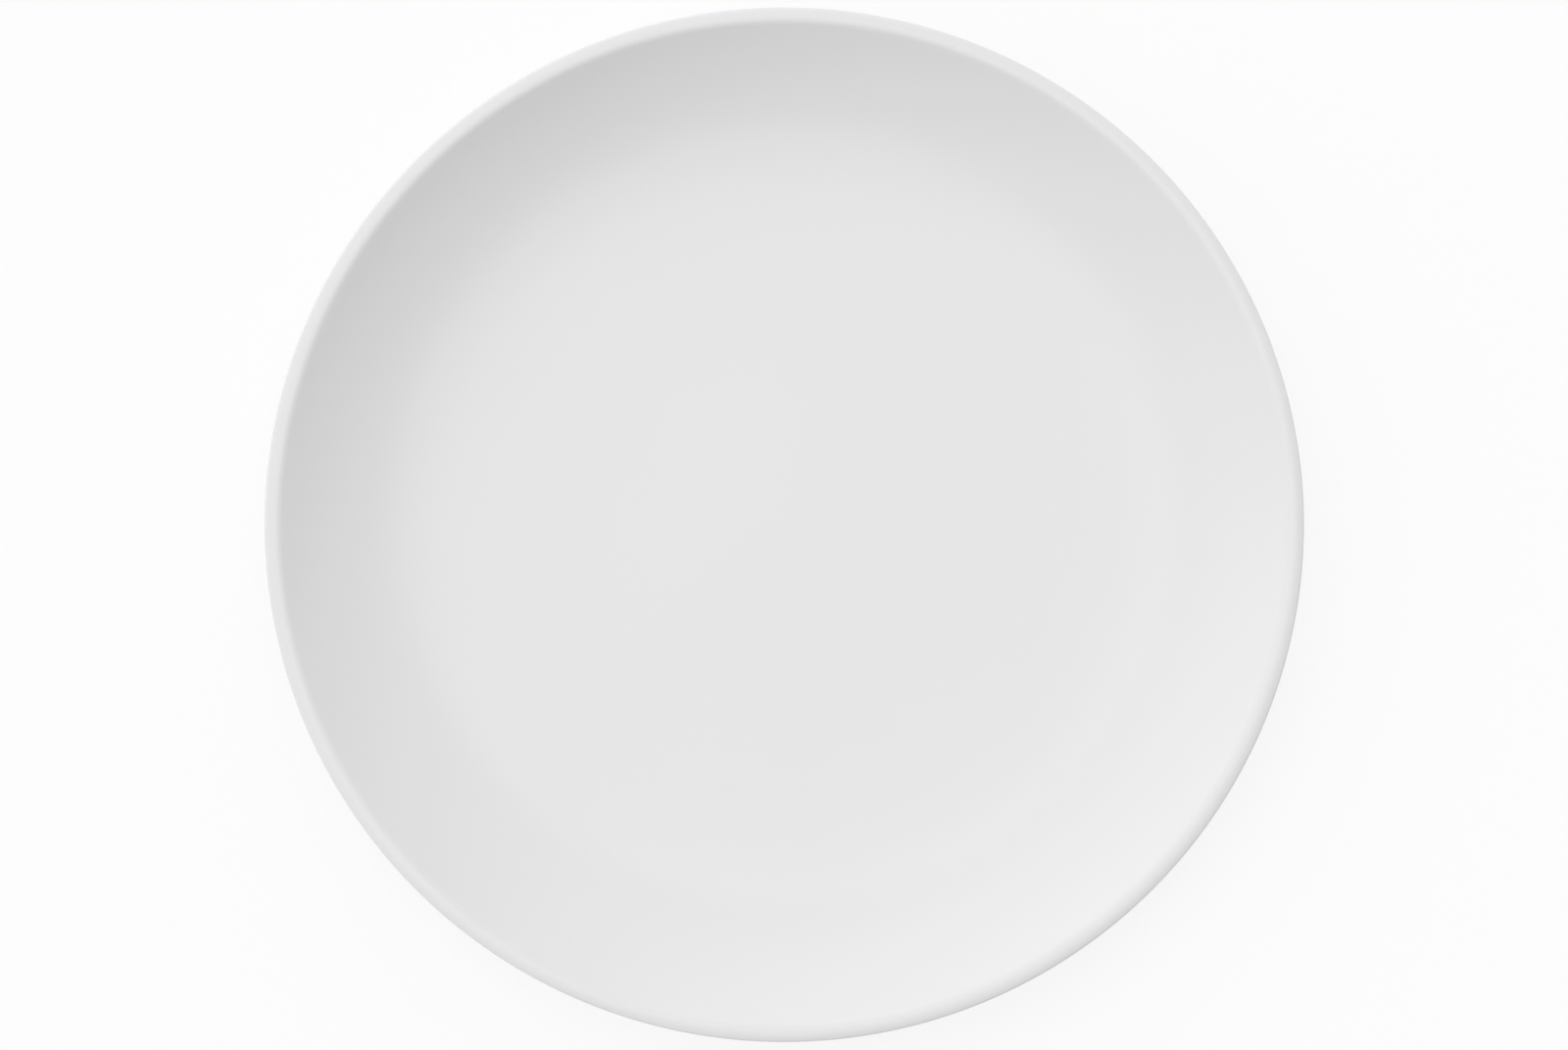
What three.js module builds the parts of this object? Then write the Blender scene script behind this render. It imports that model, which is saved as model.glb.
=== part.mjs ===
// Coupe charger plate: a porcelain body with an integral foot ring, and its two skins of glaze.
// Millimetres, +Z up, origin at the centre of the foot, on the surface that the plate stands on.
import * as THREE from 'three';

// Overall size of the glazed plate
const PLATE_DIAMETER = 320;
const PLATE_HEIGHT = 27.5;

// Well: a barely raised middle, a flat seat round it, and a shallow cove up to the wall
const DOME_RADIUS = 70;
const DOME_RISE = 1.6;
const SEAT_WIDTH = 15;
const COVE_WIDTH = 21;
const COVE_ANGLE = THREE.MathUtils.degToRad(2.5);

// Lip: a round up from the wall, a gentle crown outside its crest, and a tight round at the edge
const LIP_INNER_RADIUS = 3.8;
const LIP_CROWN_RADIUS = 8;
const LIP_CROWN_ANGLE = THREE.MathUtils.degToRad(18);
const LIP_EDGE_RADIUS = 0.6;

// Body thickness under the well, and the foot ring below it
const FLOOR_THICKNESS = 5.2;
const FOOT_DIAMETER = 182;
const FOOT_HEIGHT = 3.8;
const FOOT_LAND_WIDTH = 3;
const FOOT_EDGE_RADIUS = 0.6;
const FOOT_DRAFT = THREE.MathUtils.degToRad(12);
const FOOT_FILLET = 1.8;

// Glaze: its thickness on the body, the hair's breadth that keeps the two solids from crossing,
// and the strip of foot wall that is wiped bare above the rounded edge
const GLAZE_THICKNESS = 0.35;
const GLAZE_CLEARANCE = 0.02;
const BARE_STRIP = 0.5;

// Facets round the axis, and along each stretch of the outline
const AROUND = 64;
const DOME_STEPS = 4;
const COVE_STEPS = 2;
const WALL_STEPS = 6;
const LIP_INNER_STEPS = 2;
const LIP_CROWN_STEPS = 2;
const LIP_EDGE_STEPS = 2;
const BACK_STEPS = 6;
const FILLET_STEPS = 2;
const EDGE_STEPS = 2;

// Places that follow from the sizes. Outline points are (radius, height).
const floorHeight = FOOT_HEIGHT + FLOOR_THICKNESS;
const seatEdge = DOME_RADIUS + SEAT_WIDTH;
const coveRadius = COVE_WIDTH / Math.sin(COVE_ANGLE);
const bodyRadius = PLATE_DIAMETER / 2 - GLAZE_THICKNESS;
const bodyHeight = PLATE_HEIGHT - GLAZE_THICKNESS;
const crownInset = (LIP_CROWN_RADIUS - LIP_EDGE_RADIUS) * Math.sin(LIP_CROWN_ANGLE);
const crestRadius = bodyRadius - LIP_EDGE_RADIUS - crownInset;
const landMiddle = FOOT_DIAMETER / 2 - FOOT_LAND_WIDTH / 2;

function arc(centre, radius, startAngle, endAngle, steps) {
  const clockwise = endAngle < startAngle;
  const curve = new THREE.EllipseCurve(centre.x, centre.y, radius, radius, startAngle, endAngle, clockwise);
  return curve.getPoints(steps);
}

// Radius of the arc that leaves a point square to its normal and runs smoothly into a circle.
// The reach is the circle's radius, negative where the circle lies inside the arc.
function tangentRadius(point, normal, circleCentre, reach) {
  const offset = point.clone().sub(circleCentre);
  return (offset.lengthSq() - reach * reach) / (2 * (reach - offset.dot(normal)));
}

// Raised middle, from the axis out to a radius: half a cosine wave above the given height
function dome(outerRadius, height) {
  const points = [];
  for (let step = 0; step <= DOME_STEPS; step += 1) {
    const share = step / DOME_STEPS;
    const rise = DOME_RISE * (1 + Math.cos(Math.PI * share)) / 2;
    points.push(new THREE.Vector2(outerRadius * share, height + rise));
  }
  return points;
}

// Face of the body, from the axis to the crest of the lip
function faceOutline() {
  const coveCentre = new THREE.Vector2(seatEdge, floorHeight + coveRadius);
  const coveBottom = -Math.PI / 2;
  const coveEnd = coveBottom + COVE_ANGLE;
  const cove = arc(coveCentre, coveRadius, coveBottom, coveEnd, COVE_STEPS);

  const start = cove[cove.length - 1];
  const normal = new THREE.Vector2(-Math.sin(COVE_ANGLE), Math.cos(COVE_ANGLE));
  const lipCentre = new THREE.Vector2(crestRadius, bodyHeight - LIP_INNER_RADIUS);
  const wallRadius = tangentRadius(start, normal, lipCentre, LIP_INNER_RADIUS);
  const wallCentre = start.clone().addScaledVector(normal, wallRadius);
  const wallEnd = lipCentre.clone().sub(wallCentre).angle() - 2 * Math.PI;
  const wall = arc(wallCentre, wallRadius, coveEnd, wallEnd, WALL_STEPS);
  const lip = arc(lipCentre, LIP_INNER_RADIUS, wallEnd + Math.PI, Math.PI / 2, LIP_INNER_STEPS);

  return [...dome(DOME_RADIUS, floorHeight), ...cove, ...wall.slice(1), ...lip.slice(1)];
}

// Outer half of the foot ring, from the plate's underside to the middle of the land.
// The glazed stretch ends and the bare one starts on the glaze line.
function footOutline() {
  const edgeCentre = new THREE.Vector2(FOOT_DIAMETER / 2, FOOT_EDGE_RADIUS);
  const edge = arc(edgeCentre, FOOT_EDGE_RADIUS, -FOOT_DRAFT, -Math.PI / 2, EDGE_STEPS);
  const up = new THREE.Vector2(Math.sin(FOOT_DRAFT), Math.cos(FOOT_DRAFT));
  const out = new THREE.Vector2(Math.cos(FOOT_DRAFT), -Math.sin(FOOT_DRAFT));
  const glazeLine = edge[0].clone().addScaledVector(up, BARE_STRIP);

  const wallLeft = FOOT_HEIGHT - glazeLine.y;
  const fillet = Math.min(FOOT_FILLET, wallLeft - GLAZE_THICKNESS);
  const climb = (wallLeft - fillet - fillet * out.y) / up.y;
  const filletCentre = glazeLine.clone().addScaledVector(up, climb).addScaledVector(out, fillet);
  const bend = arc(filletCentre, fillet, Math.PI / 2, Math.PI - FOOT_DRAFT, FILLET_STEPS);

  return { glazed: [...bend, glazeLine], bare: [glazeLine, ...edge] };
}

// Back of the body, from the crest of the lip to the underside next to the foot ring
function backOutline(footStart) {
  const crownCentre = new THREE.Vector2(crestRadius, bodyHeight - LIP_CROWN_RADIUS);
  const crownEnd = Math.PI / 2 - LIP_CROWN_ANGLE;
  const crown = arc(crownCentre, LIP_CROWN_RADIUS, Math.PI / 2, crownEnd, LIP_CROWN_STEPS);

  const outward = new THREE.Vector2(Math.cos(crownEnd), Math.sin(crownEnd));
  const edgeCentre = crown[crown.length - 1].clone().addScaledVector(outward, -LIP_EDGE_RADIUS);
  const up = new THREE.Vector2(0, 1);
  const backRadius = tangentRadius(footStart, up, edgeCentre, -LIP_EDGE_RADIUS);
  const backCentre = footStart.clone().addScaledVector(up, backRadius);
  const backEnd = edgeCentre.clone().sub(backCentre).angle() - 2 * Math.PI;
  const edgeTop = arc(edgeCentre, LIP_EDGE_RADIUS, crownEnd, 0, LIP_EDGE_STEPS);
  const edgeBottom = arc(edgeCentre, LIP_EDGE_RADIUS, 0, backEnd, LIP_EDGE_STEPS);
  const back = arc(backCentre, backRadius, backEnd, -Math.PI / 2, BACK_STEPS);
  return [...crown, ...edgeTop.slice(1), ...edgeBottom.slice(1), ...back.slice(1)];
}

// The same points on the other side of the foot land, in the other order
function acrossLand(points) {
  return points.map((point) => new THREE.Vector2(2 * landMiddle - point.x, point.y)).reverse();
}

// Each point of the body's outline moved out from the body, square to the outline
function standOff(points, distance) {
  const sides = points.slice(1).map((point, index) => {
    const along = point.clone().sub(points[index]).normalize();
    return new THREE.Vector2(-along.y, along.x);
  });
  return points.map((point, index) => {
    const before = sides[Math.max(index - 1, 0)];
    const after = sides[Math.min(index, sides.length - 1)];
    const out = before.clone().add(after).normalize();
    const moved = point.clone().addScaledVector(out, distance);
    return point.x === 0 ? moved.setX(0) : moved;
  });
}

// Solid of revolution about +Z, from a profile that runs out along its top and back along its bottom
function lathed(name, profile, material) {
  const geometry = new THREE.LatheGeometry(profile.slice().reverse(), AROUND);
  geometry.rotateX(Math.PI / 2);
  const mesh = new THREE.Mesh(geometry, material);
  mesh.name = name;
  return mesh;
}

const foot = footOutline();
const face = faceOutline();
const back = backOutline(foot.glazed[0]);
const outerGlazed = [...face, ...back.slice(1), ...foot.glazed.slice(1)];
const baseEdge = acrossLand(foot.glazed);
const base = dome(baseEdge[baseEdge.length - 1].x, FOOT_HEIGHT).reverse();
const baseGlazed = [...baseEdge, ...base.slice(1)];
const bare = [...foot.bare, ...acrossLand(foot.bare)];

const biscuit = new THREE.MeshStandardMaterial({ color: 0xdfddd7, roughness: 0.8, metalness: 0 });
const glaze = new THREE.MeshStandardMaterial({ color: 0xe5e5e5, roughness: 0.24, metalness: 0 });

const porcelainBody = lathed(
  'porcelain_body',
  [...outerGlazed, ...bare.slice(1), ...baseGlazed.slice(1)],
  biscuit,
);
const outerGlaze = lathed(
  'outer_glaze',
  [...standOff(outerGlazed, GLAZE_THICKNESS), ...standOff(outerGlazed, GLAZE_CLEARANCE).reverse()],
  glaze,
);
const baseGlaze = lathed(
  'base_glaze',
  [...standOff(baseGlazed, GLAZE_CLEARANCE).reverse(), ...standOff(baseGlazed, GLAZE_THICKNESS)],
  glaze.clone(),
);

const plate = new THREE.Group();
plate.add(porcelainBody, outerGlaze, baseGlaze);

export default plate;
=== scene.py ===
"""Looks of the coupe charger plate: its porcelain and its glaze, on a white studio floor."""
import math

import bpy
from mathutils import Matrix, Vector


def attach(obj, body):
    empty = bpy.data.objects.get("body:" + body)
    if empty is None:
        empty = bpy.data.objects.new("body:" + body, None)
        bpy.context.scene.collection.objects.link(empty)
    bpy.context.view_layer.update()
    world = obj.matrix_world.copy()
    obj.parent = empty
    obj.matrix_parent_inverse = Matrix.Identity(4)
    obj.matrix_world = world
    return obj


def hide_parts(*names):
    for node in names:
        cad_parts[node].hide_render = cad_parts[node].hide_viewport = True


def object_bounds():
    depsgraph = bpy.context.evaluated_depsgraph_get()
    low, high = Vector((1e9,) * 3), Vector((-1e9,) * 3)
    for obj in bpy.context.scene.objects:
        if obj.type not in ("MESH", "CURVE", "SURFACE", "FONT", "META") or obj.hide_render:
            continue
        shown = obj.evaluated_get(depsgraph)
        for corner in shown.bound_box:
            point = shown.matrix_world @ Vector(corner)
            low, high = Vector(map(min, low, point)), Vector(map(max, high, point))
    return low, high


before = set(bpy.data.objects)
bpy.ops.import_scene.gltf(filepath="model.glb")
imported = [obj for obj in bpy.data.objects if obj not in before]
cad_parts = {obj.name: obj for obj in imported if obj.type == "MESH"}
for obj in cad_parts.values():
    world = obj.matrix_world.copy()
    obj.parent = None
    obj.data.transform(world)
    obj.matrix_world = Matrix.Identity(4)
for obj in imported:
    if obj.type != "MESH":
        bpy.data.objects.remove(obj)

cad_low, cad_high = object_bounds()

# Sizes of the plate, in metres. The overall ones come from the frame.
PLATE_RADIUS = cad_high.x
PLATE_HEIGHT = cad_high.z
DOME_RADIUS = 0.070
DOME_RISE = 0.0016
SEAT_WIDTH = 0.015
COVE_WIDTH = 0.021
COVE_ANGLE = math.radians(2.5)
LIP_INNER_RADIUS = 0.0038
LIP_CROWN_RADIUS = 0.008
LIP_CROWN_ANGLE = math.radians(18)
LIP_EDGE_RADIUS = 0.0006
FLOOR_THICKNESS = 0.0052
FOOT_DIAMETER = 0.182
FOOT_HEIGHT = 0.0038
FOOT_LAND_WIDTH = 0.003
FOOT_EDGE_RADIUS = 0.0006
FOOT_DRAFT = math.radians(12)
FOOT_FILLET = 0.0018
GLAZE_THICKNESS = 0.00035
GLAZE_CLEARANCE = 0.00002

# The glaze line on the foot ring: how far above the rounded edge it runs, how much it wavers
# round the ring, and the length over which the glaze thins out in a round bead.
# Each wave has a count round the ring, a phase and a weight. The base's line is turned.
BARE_STRIP = 0.0005
BARE_STRIP_WAVER = 0.00014
WAVER_WAVES = ((3, 0.4, 1.0), (8, 2.1, 0.7), (19, 4.0, 0.5))
BASE_WAVER_TURN = 1.3
BEAD_LENGTH = 0.0005

# Fineness of the meshes
AROUND = 256
DOME_STEPS = 14
COVE_STEPS = 5
WALL_STEPS = 24
LIP_INNER_STEPS = 8
LIP_CROWN_STEPS = 8
LIP_EDGE_STEPS = 16
BACK_STEPS = 22
FILLET_STEPS = 6
BEAD_STEPS = 6
EDGE_STEPS = 6
SHARP_EDGE = math.radians(50)

# The photograph's frame and the plate's outline in it, in pixels
PHOTO_WIDTH = 1600
PHOTO_HEIGHT = 1071
OUTLINE_CENTRE = (800.25, 535.2)
OUTLINE_HALF_WIDTH = 530.4

# The camera, almost straight above
CAMERA_ELEVATION = math.radians(84.3)
CAMERA_DISTANCE = 1.4
SENSOR_WIDTH = 36

# Glaze: colour where it is full and where it is thin, the most that thin glaze and pinholes show,
# and gloss
GLAZE_WHITE = (0.785, 0.785, 0.785, 1)
GLAZE_THIN = (0.755, 0.754, 0.752, 1)
THIN_SHARE = 0.16
PINHOLE_SHARE = 0.9
GLAZE_SPECULAR = 0.35
GLAZE_ROUGHNESS = (0.21, 0.26)

# Textures of the glaze: how many features there are to a metre, the levels of the texture that are
# used, and the depth of the relief in metres. Pinholes are in a few of the cells that fill the surface.
CLOUDS = 16
CLOUD_LEVELS = (0.35, 0.75)
HAZE = 45
HAZE_LEVELS = (0.3, 0.7)
TURNING_LINES = 420
TURNING_DEPTH = 0.000004
PEEL = 240
PEEL_DEPTH = 0.000008
PINHOLE_CELLS = 90
CELLS_WITHOUT_PINHOLE = 0.9
PINHOLE_EDGE = (0.012, 0.02)
PINHOLE_DEPTH = 0.00006

# Bare porcelain: colours of the clay and of the grey rubbed into it, and how rough each is
BISCUIT_WHITE = (0.74, 0.72, 0.68, 1)
BISCUIT_GRAIN = (0.64, 0.615, 0.57, 1)
RUB_GREY = (0.36, 0.355, 0.35, 1)
RUB_SHARE = 0.7
RUB_HEIGHT = 0.00035
BISCUIT_ROUGHNESS = 0.85
RUBBED_ROUGHNESS = 0.5

# Textures of the bare porcelain: its grain, and scuffs that run round the foot land
GRAIN = 2600
GRAIN_LEVELS = (0.42, 0.72)
GRAIN_DEPTH = 0.00003
SCUFF_LINES = 2600
SCUFFS_ROUND = 5
SCUFF_LEVELS = (0.5, 0.75)

# Floor, and light of the studio. Irradiances are in watts to a square metre.
WHITE = (1, 1, 1, 1)
FLOOR_WHITE = (0.93, 0.93, 0.93, 1)
FLOOR_ROUGHNESS = 0.9
FLOOR_HALF_SIZE = 6
FLOOR_SHINE_THROUGH = 0.82
FILL_STRENGTH = 0.45
SIDE_IRRADIANCE = 1.11
SIDE_SPREAD = math.radians(80)
SIDE_ELEVATION = math.radians(30)
SIDE_AZIMUTHS = (math.radians(85), math.radians(175))
TOP_IRRADIANCE = 0.5
TOP_SPREAD = math.radians(42)

# Sockets of the colour mix node: its share, first colour and second colour, and its result
MIX_SHARE = 0
MIX_FIRST = 6
MIX_SECOND = 7
MIX_RESULT = 2


# Directions in the plane of an outline


def polar(angle):
    return Vector((math.cos(angle), math.sin(angle)))


def angle_of(direction):
    return math.atan2(direction.y, direction.x)


# Places that follow from the sizes
floor_height = FOOT_HEIGHT + FLOOR_THICKNESS
seat_edge = DOME_RADIUS + SEAT_WIDTH
cove_radius = COVE_WIDTH / math.sin(COVE_ANGLE)
body_radius = PLATE_RADIUS - GLAZE_THICKNESS
body_height = PLATE_HEIGHT - GLAZE_THICKNESS
crown_end = math.pi / 2 - LIP_CROWN_ANGLE
crown_to_edge = (LIP_CROWN_RADIUS - LIP_EDGE_RADIUS) * polar(crown_end)
crest_radius = body_radius - LIP_EDGE_RADIUS - crown_to_edge.x
crown_centre = Vector((crest_radius, body_height - LIP_CROWN_RADIUS))
lip_edge_centre = crown_centre + crown_to_edge
land_middle = FOOT_DIAMETER / 2 - FOOT_LAND_WIDTH / 2


# Outlines of the plate: points of (radius, height)


def arc(centre, radius, start, end, steps):
    """Points on a circle about centre, from one angle to another."""
    turn = (end - start) / steps
    return [centre + radius * polar(start + turn * step) for step in range(steps + 1)]


def tangent_radius(point, normal, circle_centre, reach):
    """Radius of the arc that leaves point square to normal and runs smoothly into a circle.

    The reach is the circle's radius, negative where the circle lies inside the arc.
    """
    offset = point - circle_centre
    return (offset.length_squared - reach**2) / (2 * (reach - offset.dot(normal)))


def dome(outer_radius, height):
    """Raised middle, from the axis out to a radius: half a cosine wave above the given height."""
    points = []
    for step in range(DOME_STEPS + 1):
        share = step / DOME_STEPS
        rise = DOME_RISE * (1 + math.cos(math.pi * share)) / 2
        points.append(Vector((outer_radius * share, height + rise)))
    return points


def face_outline():
    """Face of the body, from the axis to the crest of the lip."""
    cove_bottom = -math.pi / 2
    cove_end = cove_bottom + COVE_ANGLE
    cove_centre = Vector((seat_edge, floor_height + cove_radius))
    cove = arc(cove_centre, cove_radius, cove_bottom, cove_end, COVE_STEPS)

    normal = polar(COVE_ANGLE + math.pi / 2)
    lip_centre = Vector((crest_radius, body_height - LIP_INNER_RADIUS))
    wall_radius = tangent_radius(cove[-1], normal, lip_centre, LIP_INNER_RADIUS)
    wall_centre = cove[-1] + wall_radius * normal
    wall_end = angle_of(lip_centre - wall_centre)
    wall = arc(wall_centre, wall_radius, cove_end, wall_end, WALL_STEPS)
    lip = arc(lip_centre, LIP_INNER_RADIUS, wall_end + math.pi, math.pi / 2, LIP_INNER_STEPS)
    return dome(DOME_RADIUS, floor_height) + cove + wall[1:] + lip[1:]


def bead_angles():
    """Angles round the bead of glaze, from its full thickness to the glaze line."""
    return [math.pi / 2 * (1 - step / BEAD_STEPS) for step in range(BEAD_STEPS + 1)]


def foot_outline(bare_strip):
    """Outer half of the foot ring: its glazed stretch from the underside, and its bare one to the land.

    The glazed stretch ends with close points, for the bead of glaze on its last bit.
    """
    foot_edge_centre = Vector((FOOT_DIAMETER / 2, FOOT_EDGE_RADIUS))
    edge = arc(foot_edge_centre, FOOT_EDGE_RADIUS, -FOOT_DRAFT, -math.pi / 2, EDGE_STEPS)
    up = polar(math.pi / 2 - FOOT_DRAFT)
    out = polar(-FOOT_DRAFT)
    glaze_line = edge[0] + bare_strip * up
    bead = [glaze_line + BEAD_LENGTH * (1 - math.cos(angle)) * up for angle in bead_angles()]

    climb = (FOOT_HEIGHT - glaze_line.y - FOOT_FILLET * (1 + out.y)) / up.y
    fillet_centre = glaze_line + climb * up + FOOT_FILLET * out
    bend = arc(fillet_centre, FOOT_FILLET, math.pi / 2, math.pi - FOOT_DRAFT, FILLET_STEPS)
    return bend + bead, [glaze_line] + edge


def back_outline(foot_start):
    """Back of the body, from the crest of the lip to the underside next to the foot ring."""
    crown = arc(crown_centre, LIP_CROWN_RADIUS, math.pi / 2, crown_end, LIP_CROWN_STEPS)
    up = Vector((0, 1))
    back_radius = tangent_radius(foot_start, up, lip_edge_centre, -LIP_EDGE_RADIUS)
    back_centre = foot_start + back_radius * up
    back_end = angle_of(lip_edge_centre - back_centre)
    edge = arc(lip_edge_centre, LIP_EDGE_RADIUS, crown_end, back_end, LIP_EDGE_STEPS)
    back = arc(back_centre, back_radius, back_end, -math.pi / 2, BACK_STEPS)
    return crown + edge[1:] + back[1:]


def across_land(points):
    """The same points on the other side of the foot land, in the other order."""
    return [Vector((2 * land_middle - point.x, point.y)) for point in reversed(points)]


def outer_outline(bare_strip):
    """Body under the outer glaze: the face, the lip, the back and the outside of the foot ring."""
    foot_glazed, _ = foot_outline(bare_strip)
    return face_outline() + back_outline(foot_glazed[0])[1:] + foot_glazed[1:]


def base_outline(bare_strip):
    """Body under the base glaze: the inside of the foot ring and the base, in to the axis."""
    foot_glazed, _ = foot_outline(bare_strip)
    edge = across_land(foot_glazed)
    return edge + dome(edge[-1].x, FOOT_HEIGHT)[-2::-1]


def stand_off(points, distances):
    """Each point of the body's outline moved out from the body, square to the outline."""
    sides = []
    for here, there in zip(points, points[1:]):
        along = (there - here).normalized()
        sides.append(Vector((-along.y, along.x)))
    moved = []
    for index, (point, distance) in enumerate(zip(points, distances)):
        out = (sides[max(index - 1, 0)] + sides[min(index, len(sides) - 1)]).normalized()
        away = point + distance * out
        moved.append(Vector((0, away.y)) if point.x == 0 else away)
    return moved


def glaze_depths(count):
    """Height of the glaze's surface above each of count points that end with the bead."""
    full = GLAZE_THICKNESS - GLAZE_CLEARANCE
    bead = [GLAZE_CLEARANCE + full * math.sin(angle) for angle in bead_angles()]
    return [GLAZE_THICKNESS] * (count - len(bead)) + bead


def wavering_strip(angle):
    """Width of the bare strip above the foot's edge, which the wiping sponge left uneven."""
    waves = sum(weight * math.sin(count * angle + phase) for count, phase, weight in WAVER_WAVES)
    highest = sum(weight for _, _, weight in WAVER_WAVES)
    return BARE_STRIP + BARE_STRIP_WAVER * waves / highest


def body_profile(_angle):
    """Closed outline of the body, which is the same all the way round."""
    _, foot_bare = foot_outline(BARE_STRIP)
    bare = foot_bare + across_land(foot_bare)
    return outer_outline(BARE_STRIP) + bare[1:] + base_outline(BARE_STRIP)[1:]


def outer_glaze_profile(angle):
    """Closed outline of the outer glaze at an angle round the plate."""
    points = outer_outline(wavering_strip(angle))
    surface = stand_off(points, glaze_depths(len(points)))
    underside = stand_off(points, [GLAZE_CLEARANCE] * len(points))
    return surface + underside[-2::-1]


def base_glaze_profile(angle):
    """Closed outline of the base glaze at an angle round the plate."""
    points = base_outline(wavering_strip(angle + BASE_WAVER_TURN))
    surface = stand_off(points, glaze_depths(len(points))[::-1])
    underside = stand_off(points, [GLAZE_CLEARANCE] * len(points))
    return underside[::-1] + surface[1:]


# Solids


def lathe(name, profile_at, material):
    """A closed, smooth solid about the Z axis, from the outline at each angle round it."""
    turns = [2 * math.pi * step / AROUND for step in range(AROUND)]
    profiles = [profile_at(turn) for turn in turns]
    vertices = []
    rings = []
    for places in zip(*profiles):
        if places[0].x == 0:
            rings.append([len(vertices)] * AROUND)
            vertices.append((0, 0, places[0].y))
            continue
        rings.append(range(len(vertices), len(vertices) + AROUND))
        for turn, place in zip(turns, places):
            spot = place.x * polar(turn)
            vertices.append((spot.x, spot.y, place.y))
    faces = []
    for ring, following in zip(rings, rings[1:]):
        for step in range(AROUND):
            after = (step + 1) % AROUND
            corners = [ring[after], ring[step], following[step], following[after]]
            faces.append(list(dict.fromkeys(corners)))
    mesh = bpy.data.meshes.new(name)
    mesh.from_pydata(vertices, [], faces)
    mesh.shade_smooth()
    mesh.set_sharp_from_angle(angle=SHARP_EDGE)
    mesh.materials.append(material)
    piece = bpy.data.objects.new(name, mesh)
    bpy.context.scene.collection.objects.link(piece)
    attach(piece, "root")
    return piece


def make_plate():
    """The porcelain body and its two skins of glaze."""
    glaze = glaze_material()
    body = lathe("plate_body", body_profile, biscuit_material())
    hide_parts("porcelain_body")
    coat = lathe("plate_glaze", outer_glaze_profile, glaze)
    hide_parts("outer_glaze")
    base = lathe("base_glaze_skin", base_glaze_profile, glaze)
    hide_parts("base_glaze")


# Materials


def new_material(name):
    material = bpy.data.materials.new(name)
    material.use_nodes = True
    return material


def add_node(tree, kind, values=None, **settings):
    """A node with its settings made and its inputs set to a value or linked to an output."""
    node = tree.nodes.new(kind)
    for key, setting in settings.items():
        setattr(node, key, setting)
    for key, value in (values or {}).items():
        if isinstance(value, bpy.types.NodeSocket):
            tree.links.new(value, node.inputs[key])
        else:
            node.inputs[key].default_value = value
    return node


def maths(tree, operation, *values):
    node = add_node(tree, "ShaderNodeMath", dict(enumerate(values)), operation=operation)
    return node.outputs["Value"]


def add_vectors(tree, first, second):
    node = add_node(tree, "ShaderNodeVectorMath", {0: first, 1: second}, operation="ADD")
    return node.outputs["Vector"]


def noise(tree, place, scale, detail, roughness=0.5):
    """Noise with features about 1 / scale across, in the units of the place that it is given."""
    values = {"Vector": place, "Scale": scale, "Detail": detail, "Roughness": roughness}
    return add_node(tree, "ShaderNodeTexNoise", values).outputs["Fac"]


def remap(tree, value, levels, results=(0, 1), smooth=False):
    """Value between two levels turned into a value between two results."""
    values = {"Value": value, "From Min": levels[0], "From Max": levels[1]}
    values.update({"To Min": results[0], "To Max": results[1]})
    kind = "SMOOTHSTEP" if smooth else "LINEAR"
    return add_node(tree, "ShaderNodeMapRange", values, interpolation_type=kind).outputs["Result"]


def blend(tree, share, first, second):
    """Colour that goes from the first to the second as the share goes from 0 to 1."""
    values = {MIX_SHARE: share, MIX_FIRST: first, MIX_SECOND: second}
    return add_node(tree, "ShaderNodeMix", values, data_type="RGBA").outputs[MIX_RESULT]


def mix_shaders(tree, share, first, second):
    values = {0: share, 1: first.outputs[0], 2: second.outputs[0]}
    return add_node(tree, "ShaderNodeMixShader", values).outputs[0]


def bump(tree, height, distance, under=None):
    """Relief of the given height texture, in metres, on top of another relief."""
    values = {"Height": height, "Strength": 1.0, "Distance": distance}
    if under is not None:
        values["Normal"] = under
    return add_node(tree, "ShaderNodeBump", values).outputs["Normal"]


def round_the_axis(tree, place):
    """Coordinates that follow the turning: the direction from the axis, the radius and the height."""
    apart = add_node(tree, "ShaderNodeSeparateXYZ", {"Vector": place})
    flat = add_node(tree, "ShaderNodeCombineXYZ", {"X": apart.outputs["X"], "Y": apart.outputs["Y"]})
    length = add_node(tree, "ShaderNodeVectorMath", {0: flat.outputs[0]}, operation="LENGTH")
    heading = add_node(tree, "ShaderNodeVectorMath", {0: flat.outputs[0]}, operation="NORMALIZE")
    return heading.outputs["Vector"], length.outputs["Value"], apart.outputs["Z"]


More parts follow.
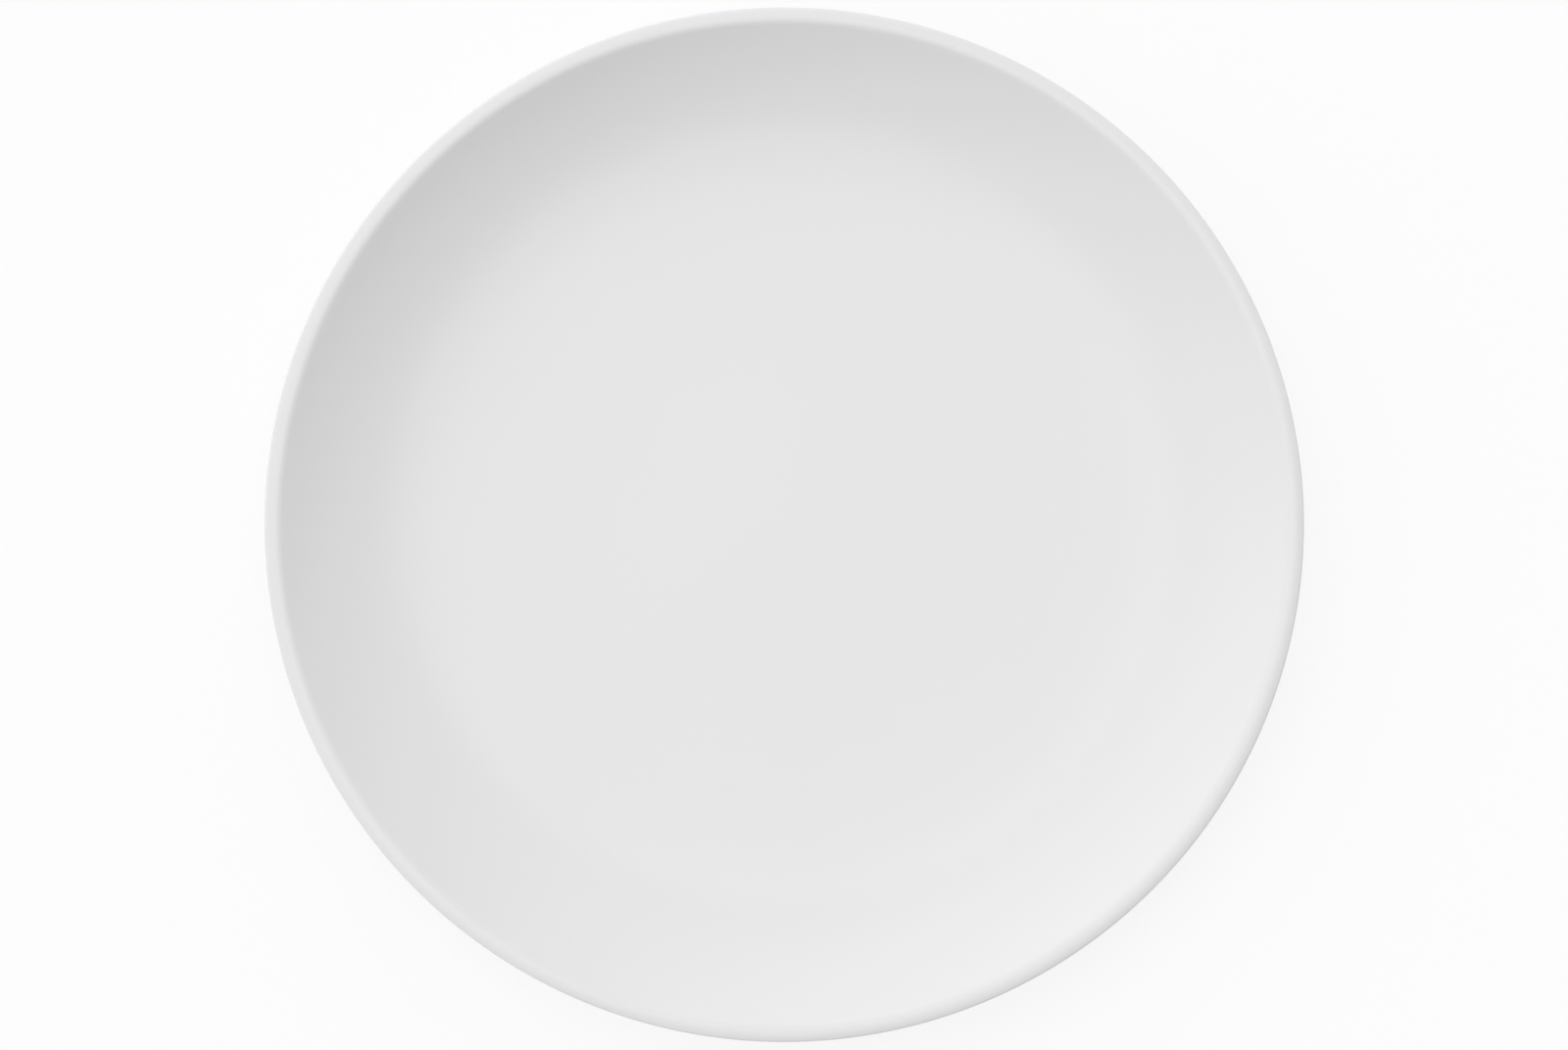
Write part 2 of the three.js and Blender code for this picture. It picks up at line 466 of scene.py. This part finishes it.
def glaze_material():
    """Clear, smooth glaze over white porcelain, with soft unevenness and a few pinholes."""
    material = new_material("glaze")
    tree = material.node_tree
    shader = tree.nodes["Principled BSDF"]
    place = add_node(tree, "ShaderNodeTexCoord").outputs["Object"]
    heading, radius, _ = round_the_axis(tree, place)

    clouds = noise(tree, place, CLOUDS, detail=2.0)
    thin = remap(tree, clouds, CLOUD_LEVELS, (0, THIN_SHARE))
    cells = add_node(tree, "ShaderNodeTexVoronoi", {"Vector": place, "Scale": PINHOLE_CELLS})
    chosen = add_node(tree, "ShaderNodeSeparateColor", {"Color": cells.outputs["Color"]})
    rare = maths(tree, "GREATER_THAN", chosen.outputs["Red"], CELLS_WITHOUT_PINHOLE)
    pinhole = remap(tree, cells.outputs["Distance"], PINHOLE_EDGE, (1, 0), smooth=True)
    pinhole = maths(tree, "MULTIPLY", pinhole, rare)
    share = maths(tree, "MAXIMUM", thin, maths(tree, "MULTIPLY", pinhole, PINHOLE_SHARE))
    tree.links.new(blend(tree, share, GLAZE_WHITE, GLAZE_THIN), shader.inputs["Base Color"])

    shader.inputs["Specular IOR Level"].default_value = GLAZE_SPECULAR
    haze = noise(tree, place, HAZE, detail=4.0, roughness=0.6)
    tree.links.new(remap(tree, haze, HAZE_LEVELS, GLAZE_ROUGHNESS), shader.inputs["Roughness"])

    lines = maths(tree, "MULTIPLY", radius, TURNING_LINES)
    rings = add_node(tree, "ShaderNodeCombineXYZ", {"X": lines}).outputs["Vector"]
    swirl = noise(tree, add_vectors(tree, heading, rings), 1.0, detail=1.0)
    turning = bump(tree, swirl, TURNING_DEPTH)
    peel = bump(tree, noise(tree, place, PEEL, detail=1.5), PEEL_DEPTH, turning)
    dips = bump(tree, pinhole, -PINHOLE_DEPTH, peel)
    tree.links.new(dips, shader.inputs["Normal"])
    return material


def biscuit_material():
    """Bare fired porcelain: a dense fine grain, rubbed grey on the land that slides on tables."""
    material = new_material("biscuit")
    tree = material.node_tree
    shader = tree.nodes["Principled BSDF"]
    place = add_node(tree, "ShaderNodeTexCoord").outputs["Object"]
    heading, radius, height = round_the_axis(tree, place)

    grain = noise(tree, place, GRAIN, detail=3.0, roughness=0.65)
    clay = blend(tree, remap(tree, grain, GRAIN_LEVELS), BISCUIT_WHITE, BISCUIT_GRAIN)

    lines = maths(tree, "MULTIPLY", radius, SCUFF_LINES)
    rings = add_node(tree, "ShaderNodeCombineXYZ", {"Z": lines}).outputs["Vector"]
    sweep = add_node(tree, "ShaderNodeVectorMath", {0: heading, "Scale": SCUFFS_ROUND}, operation="SCALE")
    track = add_vectors(tree, sweep.outputs["Vector"], rings)
    scuffs = remap(tree, noise(tree, track, 1.0, detail=3.0, roughness=0.7), SCUFF_LEVELS)
    on_land = remap(tree, height, (0, RUB_HEIGHT), (1, 0), smooth=True)
    rubbed = maths(tree, "MULTIPLY", maths(tree, "MULTIPLY", scuffs, on_land), RUB_SHARE)
    roughness = remap(tree, rubbed, (0, RUB_SHARE), (BISCUIT_ROUGHNESS, RUBBED_ROUGHNESS))
    tree.links.new(blend(tree, rubbed, clay, RUB_GREY), shader.inputs["Base Color"])
    tree.links.new(roughness, shader.inputs["Roughness"])
    tree.links.new(bump(tree, grain, GRAIN_DEPTH), shader.inputs["Normal"])
    return material


def seen_directly(tree):
    """1 for what the camera sees, straight or in a reflection or through glass; 0 for light on surfaces."""
    path = add_node(tree, "ShaderNodeLightPath").outputs
    seen = maths(tree, "MAXIMUM", path["Is Camera Ray"], path["Is Glossy Ray"])
    return maths(tree, "MAXIMUM", seen, path["Is Transmission Ray"])


def floor_material():
    """White paper that shines through to the eye, but keeps the plate's shadow."""
    material = new_material("floor")
    tree = material.node_tree
    shader = tree.nodes["Principled BSDF"]
    shader.inputs["Base Color"].default_value = FLOOR_WHITE
    shader.inputs["Roughness"].default_value = FLOOR_ROUGHNESS
    shader.inputs["Specular IOR Level"].default_value = 0.0
    white = add_node(tree, "ShaderNodeEmission", {"Color": WHITE, "Strength": 1.0})
    share = maths(tree, "MULTIPLY", seen_directly(tree), FLOOR_SHINE_THROUGH)
    mixed = mix_shaders(tree, share, shader, white)
    tree.links.new(mixed, tree.nodes["Material Output"].inputs["Surface"])
    return material


# Camera and studio


def make_camera():
    """The camera at the photograph's angle, framed so that the outline lies where it does there."""
    tilt = math.pi / 2 - CAMERA_ELEVATION
    metres_per_pixel = PLATE_RADIUS / OUTLINE_HALF_WIDTH
    near_half_looks_larger = PLATE_RADIUS**2 * math.sin(tilt) / CAMERA_DISTANCE
    target = Vector((
        (PHOTO_WIDTH / 2 - OUTLINE_CENTRE[0]) * metres_per_pixel,
        (OUTLINE_CENTRE[1] - PHOTO_HEIGHT / 2) * metres_per_pixel - near_half_looks_larger,
        lip_edge_centre.y,
    ))
    back = Vector((0, -math.sin(tilt), math.cos(tilt)))
    camera = bpy.data.objects.new("camera", bpy.data.cameras.new("camera"))
    camera.data.sensor_width = SENSOR_WIDTH
    camera.data.lens = SENSOR_WIDTH * CAMERA_DISTANCE / (PHOTO_WIDTH * metres_per_pixel)
    camera.location = target + CAMERA_DISTANCE * back
    camera.rotation_euler = (tilt, 0, 0)
    bpy.context.scene.collection.objects.link(camera)
    bpy.context.scene.camera = camera


def make_sun(name, azimuth, elevation, irradiance, spread):
    """A far lamp as wide as the given angle. It shines along its own -Z."""
    data = bpy.data.lights.new(name, "SUN")
    data.energy = irradiance
    data.angle = spread
    lamp = bpy.data.objects.new(name, data)
    lamp.rotation_euler = (0, math.pi / 2 - elevation, azimuth)
    bpy.context.scene.collection.objects.link(lamp)
    return lamp


def make_light():
    """Surroundings that are white to the eye and a weaker fill, and three large soft lamps."""
    scene = bpy.context.scene
    scene.view_settings.view_transform = "Standard"
    world = bpy.data.worlds.new("studio")
    world.use_nodes = True
    scene.world = world
    tree = world.node_tree
    fill = tree.nodes["Background"]
    fill.inputs["Color"].default_value = WHITE
    fill.inputs["Strength"].default_value = FILL_STRENGTH
    white = add_node(tree, "ShaderNodeBackground", {"Color": WHITE, "Strength": 1.0})
    mixed = mix_shaders(tree, seen_directly(tree), fill, white)
    tree.links.new(mixed, tree.nodes["World Output"].inputs["Surface"])

    # The side lamps leave no glare on the glaze, as light through a polariser does
    for number, azimuth in enumerate(SIDE_AZIMUTHS, 1):
        lamp = make_sun(f"side_{number}", azimuth, SIDE_ELEVATION, SIDE_IRRADIANCE, SIDE_SPREAD)
        lamp.visible_glossy = False
    make_sun("top", 0, math.pi / 2, TOP_IRRADIANCE, TOP_SPREAD)


def make_floor():
    """The white paper that the plate stands on."""
    size = FLOOR_HALF_SIZE
    corners = [(-size, -size, 0), (size, -size, 0), (size, size, 0), (-size, size, 0)]
    mesh = bpy.data.meshes.new("floor")
    mesh.from_pydata(corners, [], [(0, 1, 2, 3)])
    mesh.materials.append(floor_material())
    floor = bpy.data.objects.new("floor", mesh)
    bpy.context.scene.collection.objects.link(floor)


make_camera()
make_plate()
make_light()
make_floor()
